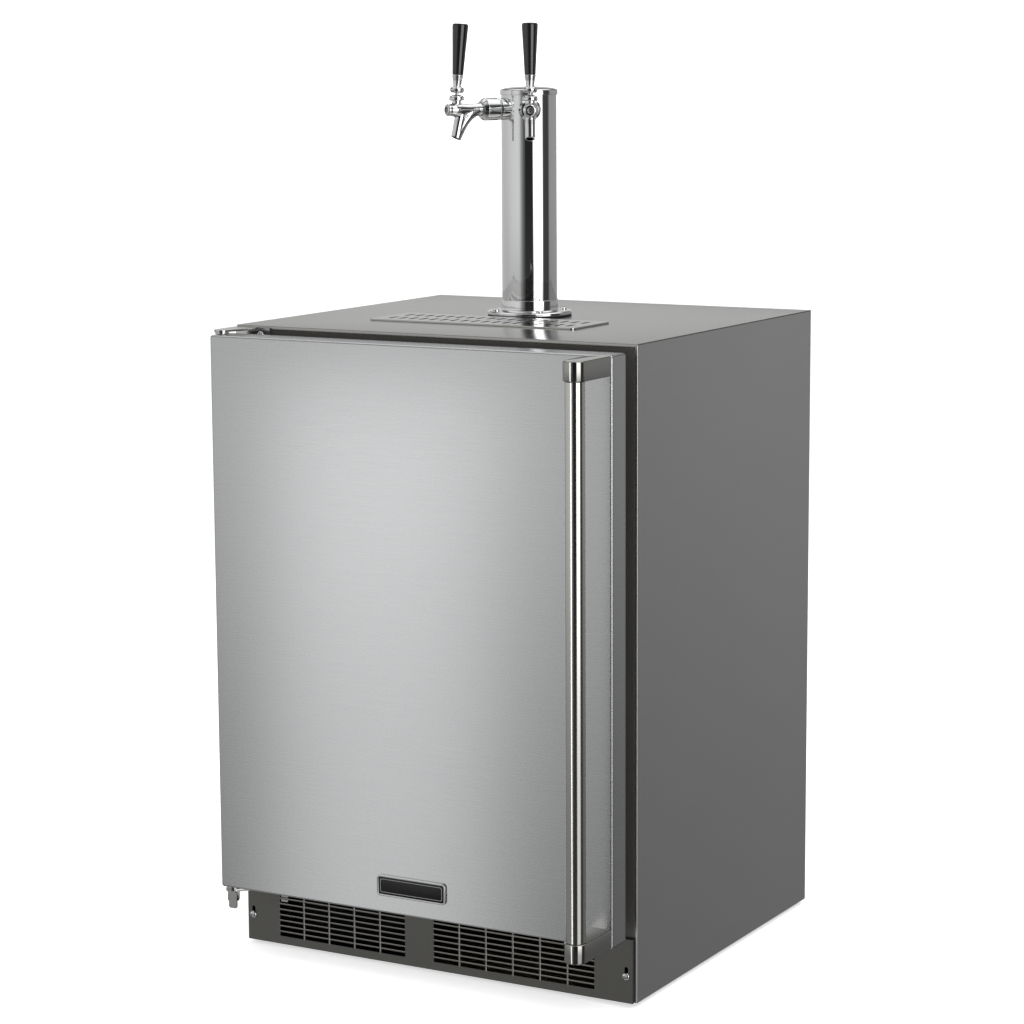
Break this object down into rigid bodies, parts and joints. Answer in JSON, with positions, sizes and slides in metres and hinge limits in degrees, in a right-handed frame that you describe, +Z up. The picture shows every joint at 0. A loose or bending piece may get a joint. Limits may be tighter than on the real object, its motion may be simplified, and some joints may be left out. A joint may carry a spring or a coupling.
{
  "type": "kegerator",
  "caption": "Built-in beer dispenser: insulated steel cabinet with a hinged door and bar handle, louvred kickplate, and a chrome tower with lever faucets.",
  "frame": {"origin": "middle of the footprint, handle included, on the floor that the legs stand on", "axes": "+Z up, -Y towards the person who opens the door, +X towards the handle side"},
  "size_m": [0.606, 0.685, 1.2617],
  "materials": {
    "brushed_panel": "satin",
    "dark_sheet": "satin",
    "satin_steel": "satin",
    "polished_chrome": "polished",
    "black_trim": "satin",
    "gloss_black": "gloss",
    "black_rubber": "matte",
    "insulating_foam": "matte",
    "liner_plastic": "satin",
    "bare_aluminium": "satin",
    "black_enamel": "gloss"
  },
  "bodies": {
    "cabinet": {"side_panel_left": "brushed_panel", "side_panel_right": "brushed_panel", "top_panel": "brushed_panel", "drip_tray": "brushed_panel", "back_panel": "dark_sheet", "base_pan": "dark_sheet", "face_frame": "black_trim", "liner": "liner_plastic", "cabinet_insulation": "insulating_foam", "kickplate": "dark_sheet", "kickplate_screw_left": "satin_steel", "kickplate_screw_right": "satin_steel", "keg_floor_plate": "satin_steel", "evaporator_plate": "bare_aluminium", "control_housing": "liner_plastic", "compressor": "black_enamel", "condenser_coil": "bare_aluminium", "condenser_fan_motor": "black_enamel", "power_inlet": "black_trim", "drip_grille": "brushed_panel", "upper_hinge_plate": "satin_steel", "lower_hinge_plate": "satin_steel", "tower_gasket": "black_rubber", "tower_flange": "polished_chrome", "flange_screw_1": "satin_steel", "flange_screw_2": "satin_steel", "flange_screw_3": "satin_steel", "flange_screw_4": "satin_steel", "tower_column": "polished_chrome", "tower_cap": "polished_chrome", "beer_line_left": "satin_steel", "beer_line_right": "satin_steel", "shank_left": "polished_chrome", "shank_right": "polished_chrome", "coupling_nut_left": "polished_chrome", "coupling_nut_right": "polished_chrome", "faucet_body_left": "polished_chrome", "faucet_body_right": "polished_chrome", "bonnet_left": "polished_chrome", "bonnet_right": "polished_chrome"},
    "door": {"door_skin": "brushed_panel", "door_core": "insulating_foam", "door_liner": "black_trim", "door_gasket": "black_rubber", "handle_bar": "satin_steel", "handle_bracket_upper": "polished_chrome", "handle_bracket_lower": "polished_chrome", "badge_plate": "polished_chrome"},
    "tap_lever_left": {"lever_left": "polished_chrome", "grip_left": "gloss_black"},
    "tap_lever_right": {"lever_right": "polished_chrome", "grip_right": "gloss_black"},
    "valve_left": {"valve_shaft_left": "satin_steel"},
    "valve_right": {"valve_shaft_right": "satin_steel"},
    "fan": {"condenser_fan_blade": "black_trim"},
    "thermostat": {"thermostat_knob": "black_trim"},
    "leg_front_left": {"leveling_leg_front_left": "black_trim"},
    "leg_front_right": {"leveling_leg_front_right": "black_trim"},
    "leg_rear_left": {"leveling_leg_rear_left": "black_trim"},
    "leg_rear_right": {"leveling_leg_rear_right": "black_trim"}
  },
  "joints": [
    {"name": "door_hinge", "type": "hinge", "parent": "cabinet", "child": "door", "pos_m": [-0.292, -0.2465, 0.475], "axis": [0, 0, -1], "range_deg": [0, 110]},
    {"name": "tap_lever_left_tilt", "type": "hinge", "parent": "cabinet", "child": "tap_lever_left", "pos_m": [-0.074, 0.00477, 1.162], "axis": [0.866, -0.5, 0], "range_deg": [0, 28]},
    {"name": "valve_left_travel", "type": "slide", "parent": "cabinet", "child": "valve_left", "axis": [0.5, 0.866, 0], "range_m": [0, 0.0068]},
    {"name": "tap_lever_right_tilt", "type": "hinge", "parent": "cabinet", "child": "tap_lever_right", "pos_m": [0.04, 0.00477, 1.162], "axis": [0.866, 0.5, 0], "range_deg": [0, 28]},
    {"name": "valve_right_travel", "type": "slide", "parent": "cabinet", "child": "valve_right", "axis": [-0.5, 0.866, 0], "range_m": [0, 0.0068]},
    {"name": "fan_spin", "type": "hinge", "parent": "cabinet", "child": "fan", "pos_m": [-0.146, -0.1275, 0.057], "axis": [0, 1, 0], "continuous": true},
    {"name": "thermostat_turn", "type": "hinge", "parent": "cabinet", "child": "thermostat", "pos_m": [0.216, -0.0805, 0.747], "axis": [-1, 0, 0], "range_deg": [0, 270]},
    {"name": "leg_front_left_height", "type": "slide", "parent": "cabinet", "child": "leg_front_left", "axis": [0, 0, -1], "range_m": [0, 0.025]},
    {"name": "leg_front_right_height", "type": "slide", "parent": "cabinet", "child": "leg_front_right", "axis": [0, 0, -1], "range_m": [0, 0.025]},
    {"name": "leg_rear_left_height", "type": "slide", "parent": "cabinet", "child": "leg_rear_left", "axis": [0, 0, -1], "range_m": [0, 0.025]},
    {"name": "leg_rear_right_height", "type": "slide", "parent": "cabinet", "child": "leg_rear_right", "axis": [0, 0, -1], "range_m": [0, 0.025]}
  ],
  "couplings": [
    {"joint": "valve_left_travel", "follows": "tap_lever_left_tilt", "m_per_rad": 0.01365},
    {"joint": "valve_right_travel", "follows": "tap_lever_right_tilt", "m_per_rad": 0.01365}
  ]
}
